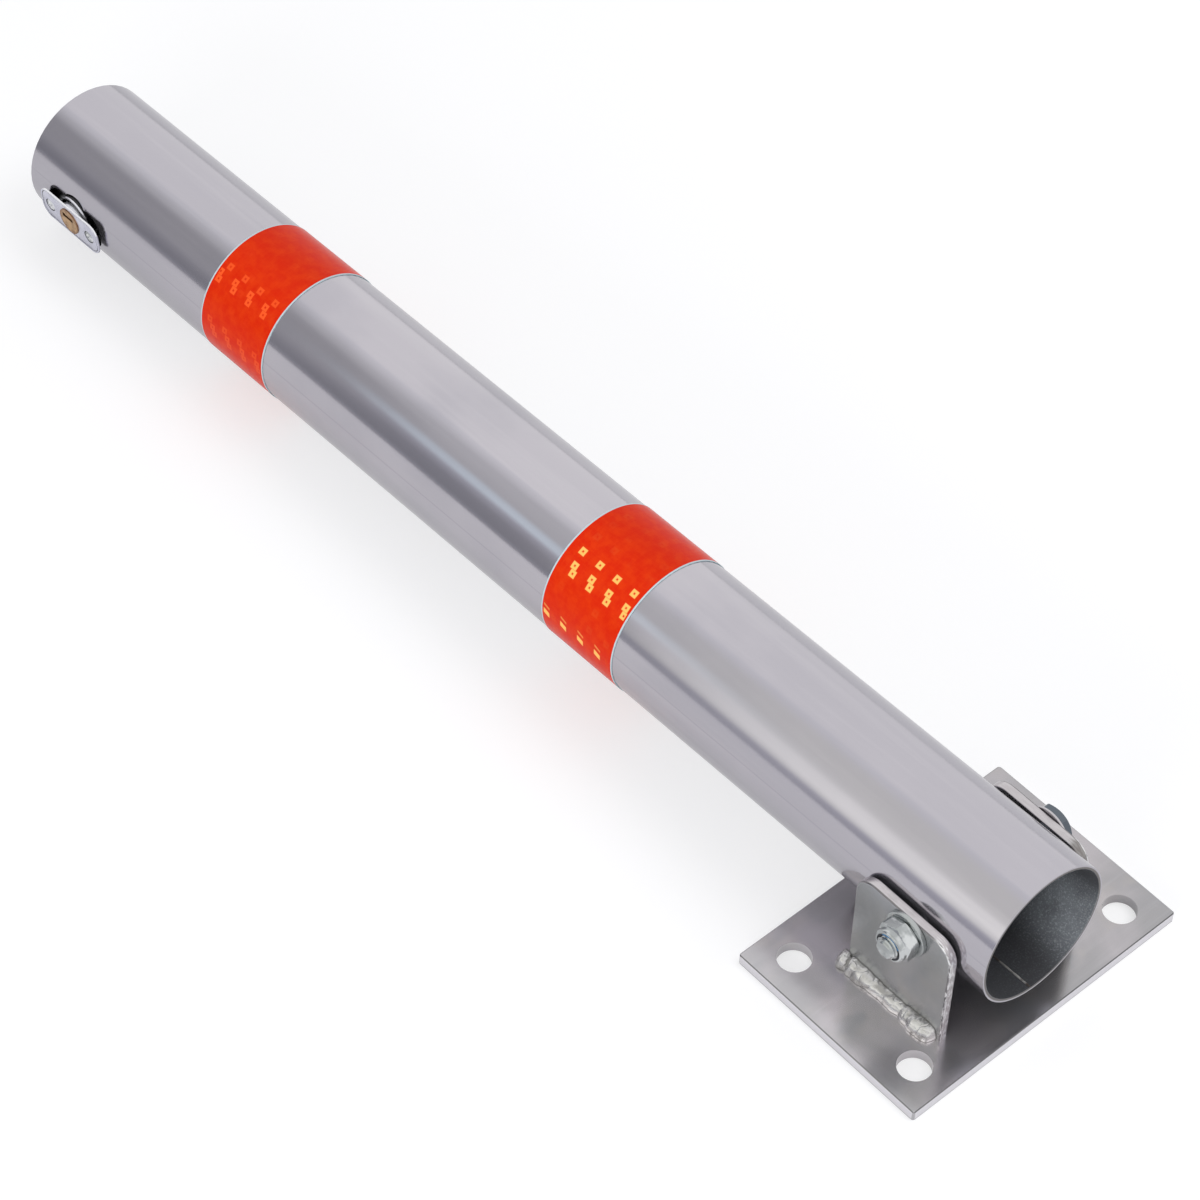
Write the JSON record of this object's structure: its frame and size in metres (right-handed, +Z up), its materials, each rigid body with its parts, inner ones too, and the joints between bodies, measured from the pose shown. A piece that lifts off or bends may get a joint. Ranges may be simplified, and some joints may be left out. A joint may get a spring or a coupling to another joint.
{
  "type": "parking bollard",
  "caption": "Fold-down steel parking post on a bolted base plate, with reflective tapes and a key lock near its free end, shown folded.",
  "frame": {"origin": "centre of the base plate's underside", "axes": "+Z up, +X along the folded post towards its open mouth, hinge bolt along Y with its nut on the -Y side"},
  "size_m": [0.7219, 0.172, 0.102],
  "materials": {
    "plate_steel": "dull rolled plate",
    "weld_metal": "bright rippled weld",
    "zinc_fastener": "bright zinc plate",
    "blue_nylon": "matte",
    "inner_steel": "plain steel",
    "galvanised_steel": "satin galvanised",
    "reflective_tape": "gloss prismatic",
    "lock_zinc": "satin zinc plate",
    "brass": "machined"
  },
  "bodies": {
    "base": {"base_plate": "plate_steel", "near_ear": "plate_steel", "far_ear": "plate_steel", "near_ear_weld": "weld_metal", "far_ear_weld": "weld_metal", "hinge_bolt": "zinc_fastener", "nut_washer": "zinc_fastener", "head_washer": "zinc_fastener", "hinge_nut": "zinc_fastener", "nut_ring": "blue_nylon", "near_spacer": "inner_steel", "far_spacer": "inner_steel"},
    "rod": {"rod_eye": "inner_steel", "pull_rod": "inner_steel", "catch_plate": "inner_steel"},
    "post": {"post_tube": "galvanised_steel", "end_cap": "galvanised_steel", "rod_guide": "inner_steel", "lower_tape": "reflective_tape", "upper_tape": "reflective_tape", "lock_faceplate": "lock_zinc", "lock_body": "lock_zinc", "lock_strap": "inner_steel", "lock_screws": "zinc_fastener", "lock_case": "inner_steel"},
    "plug": {"lock_plug": "brass"},
    "tongue": {"lock_tongue": "inner_steel"}
  },
  "joints": [
    {"name": "post_swing", "type": "hinge", "parent": "base", "child": "rod", "pos_m": [0.0108, -0.0053, 0.0625], "axis": [0, 1, 0], "range_deg": [0, 92.09]},
    {"name": "post_seat", "type": "slide", "parent": "rod", "child": "post", "axis": [0.9993, 0, 0.0364], "range_m": [0, 0.0152]},
    {"name": "key_turn", "type": "hinge", "parent": "post", "child": "plug", "pos_m": [-0.62448, -0.0053, 0.03936], "axis": [0.0024, -0.9978, -0.0662], "range_deg": [0, 90]},
    {"name": "tongue_slide", "type": "slide", "parent": "post", "child": "tongue", "axis": [-0.0363, -0.0663, 0.9971], "range_m": [0, 0.008]}
  ],
  "couplings": [
    {"joint": "tongue_slide", "follows": "key_turn", "m_per_rad": 0.005093}
  ]
}
